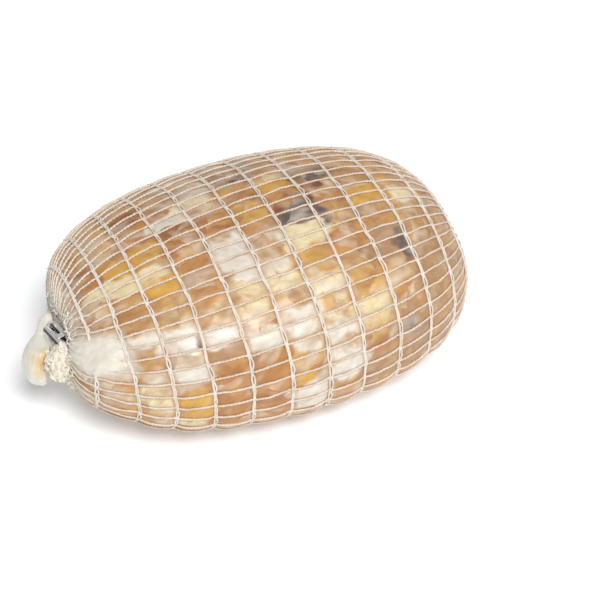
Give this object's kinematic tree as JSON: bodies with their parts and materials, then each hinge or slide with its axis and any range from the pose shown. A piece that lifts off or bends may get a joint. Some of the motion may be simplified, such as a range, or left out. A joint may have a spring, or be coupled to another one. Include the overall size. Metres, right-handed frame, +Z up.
{
  "type": "stuffed chicken roast in a net",
  "caption": "Rolled raw stuffed chicken roast in a clear casing, bound by a knitted elastic net and closed by metal clips, lying on its flattened side.",
  "frame": {"origin": "centre of the footprint of the whole part's box, on the surface that the roast lies on", "axes": "+X along the roast from the near clipped end with the tail to the far end, +Z up, so that the shown side faces -Y"},
  "size_m": [0.22, 0.1506, 0.0878],
  "materials": {
    "meat": "marbled raw chicken under a thin clear casing: tan, cream, yellow fat and dark patches, moist gloss",
    "net_cord": "knitted cream elastic and cotton cord, dull",
    "clip_wire": "bright drawn wire, bent round the gathered casing",
    "casing": "gathered milky clear casing with a little yellow fat inside"
  },
  "bodies": {
    "root": {"roast": "meat", "net": "net_cord", "near_clip": "clip_wire", "far_clip": "clip_wire", "casing_tail": "casing", "net_tail": "net_cord"}
  },
  "joints": []
}
